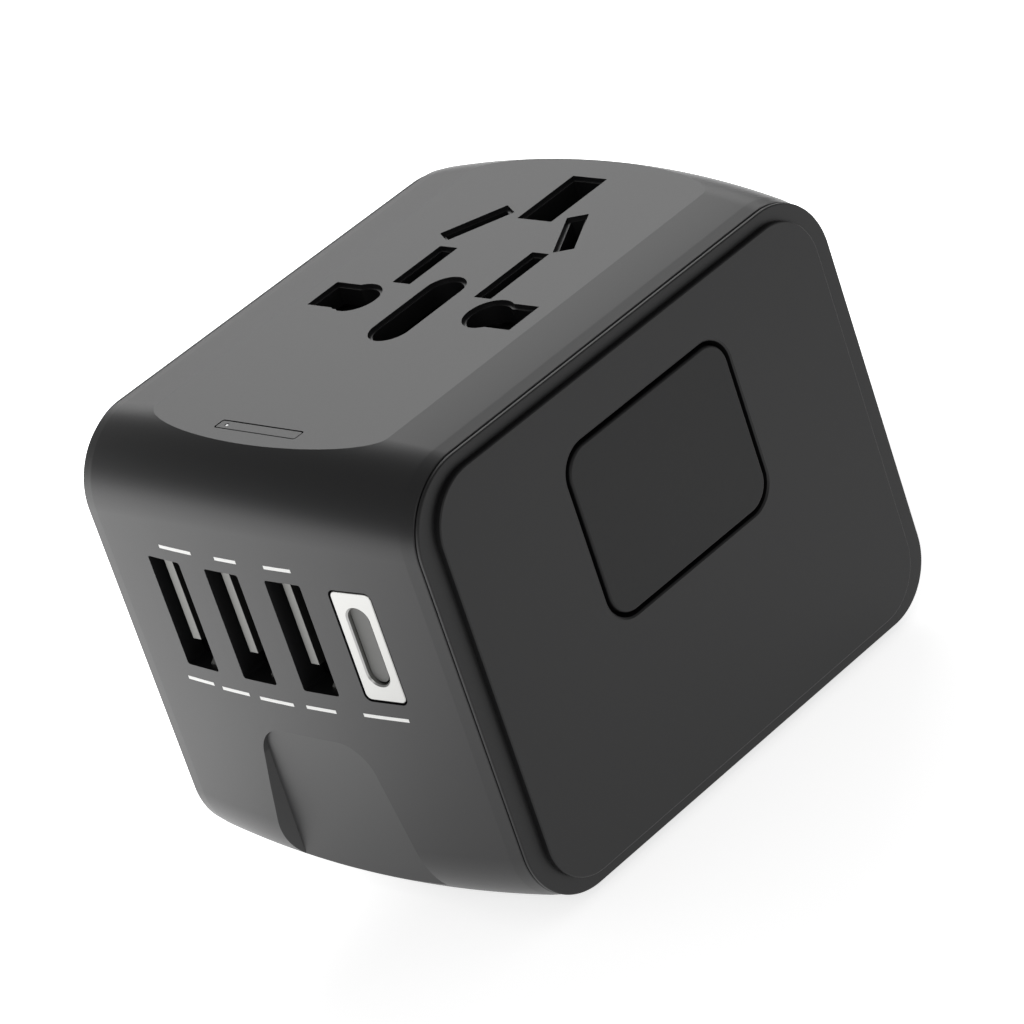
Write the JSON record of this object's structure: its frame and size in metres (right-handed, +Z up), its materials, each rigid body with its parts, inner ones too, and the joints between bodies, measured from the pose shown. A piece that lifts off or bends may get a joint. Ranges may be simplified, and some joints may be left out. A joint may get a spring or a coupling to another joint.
{
  "type": "universal travel adapter",
  "caption": "Compact travel adapter: world socket face on top, charger ports in front, sliding plug pins underneath, side release button.",
  "frame": {"origin": "middle of the flat plug face that the adapter rests on", "axes": "+Z up out of the socket face, -Y out of the charger ports, +X out of the release button"},
  "size_m": [0.0508, 0.0672, 0.0522],
  "materials": {
    "housing_plastic": "fine-grained matt moulding",
    "inner_plastic": "plain moulding",
    "brass": "stamped strip",
    "pin_nickel": "nickel-plated brass",
    "port_nickel": "nickel-plated sheet",
    "steel": "zinc plate",
    "circuit_board": "solder mask",
    "lamp_plastic": "white moulding",
    "ceramic": "pale body"
  },
  "bodies": {
    "housing": {"main_shell": "housing_plastic", "left_side_cap": "housing_plastic", "right_side_cap": "housing_plastic", "light_bar": "housing_plastic", "contact_tray": "inner_plastic", "capacitor_1": "inner_plastic", "capacitor_2": "inner_plastic", "usb_c_tongue": "inner_plastic", "live_contact": "brass", "neutral_contact": "brass", "earth_contact": "brass", "live_blade_contact": "brass", "neutral_blade_contact": "brass", "fuse_clip_1": "brass", "fuse_clip_2": "brass", "usb_a_port_1": "port_nickel", "usb_a_port_2": "port_nickel", "usb_a_port_3": "port_nickel", "usb_c_port": "port_nickel", "cap_screw_1": "steel", "cap_screw_2": "steel", "cap_screw_3": "steel", "cap_screw_4": "steel", "release_spring": "steel", "shutter_spring": "steel", "charger_board": "circuit_board", "power_led": "lamp_plastic", "usb_a_tongue_1": "lamp_plastic", "usb_a_tongue_2": "lamp_plastic", "usb_a_tongue_3": "lamp_plastic", "transformer": "ceramic", "fuse": "ceramic"},
    "uk_plug": {"uk_carriage": "inner_plastic", "uk_slider": "housing_plastic", "uk_live_pin": "pin_nickel", "uk_neutral_pin": "pin_nickel", "uk_earth_pin": "pin_nickel"},
    "eu_plug": {"eu_carriage": "inner_plastic", "eu_slider": "housing_plastic", "eu_pin_1": "pin_nickel", "eu_pin_2": "pin_nickel"},
    "us_plug": {"us_carriage": "inner_plastic", "us_slider": "housing_plastic"},
    "us_blade_left": {"us_blade_1": "pin_nickel"},
    "us_blade_right": {"us_blade_2": "pin_nickel"},
    "release": {"release_button": "housing_plastic", "latch_bar": "inner_plastic"},
    "shutter_plate": {"shutter": "lamp_plastic"}
  },
  "joints": [
    {"name": "uk_slide", "type": "slide", "parent": "housing", "child": "uk_plug", "axis": [0, 0, -1], "range_m": [0, 0.0231]},
    {"name": "eu_slide", "type": "slide", "parent": "housing", "child": "eu_plug", "axis": [0, 0, -1], "range_m": [0, 0.0231]},
    {"name": "us_slide", "type": "slide", "parent": "housing", "child": "us_plug", "axis": [0, 0, -1], "range_m": [0, 0.0231]},
    {"name": "us_twist_left", "type": "hinge", "parent": "us_plug", "child": "us_blade_left", "pos_m": [-0.00635, 0.00071, 0.0258], "axis": [0, 0, -1], "range_deg": [0, 30]},
    {"name": "us_twist_right", "type": "hinge", "parent": "us_plug", "child": "us_blade_right", "pos_m": [0.00635, 0.00071, 0.0258], "axis": [0, 0, 1], "range_deg": [0, 30]},
    {"name": "release_press", "type": "slide", "parent": "housing", "child": "release", "axis": [-1, 0, 0], "range_m": [0, 0.0012], "stiffness_N_per_m": 1200, "springref_m": -0.001, "deforming": ["release_spring"]},
    {"name": "shutter_slide", "type": "slide", "parent": "housing", "child": "shutter_plate", "axis": [0, -1, 0], "range_m": [0, 0.006], "stiffness_N_per_m": 60, "springref_m": -0.003, "deforming": ["shutter_spring"]}
  ],
  "couplings": [
    {"joint": "us_twist_right", "follows": "us_twist_left", "ratio": 1}
  ]
}
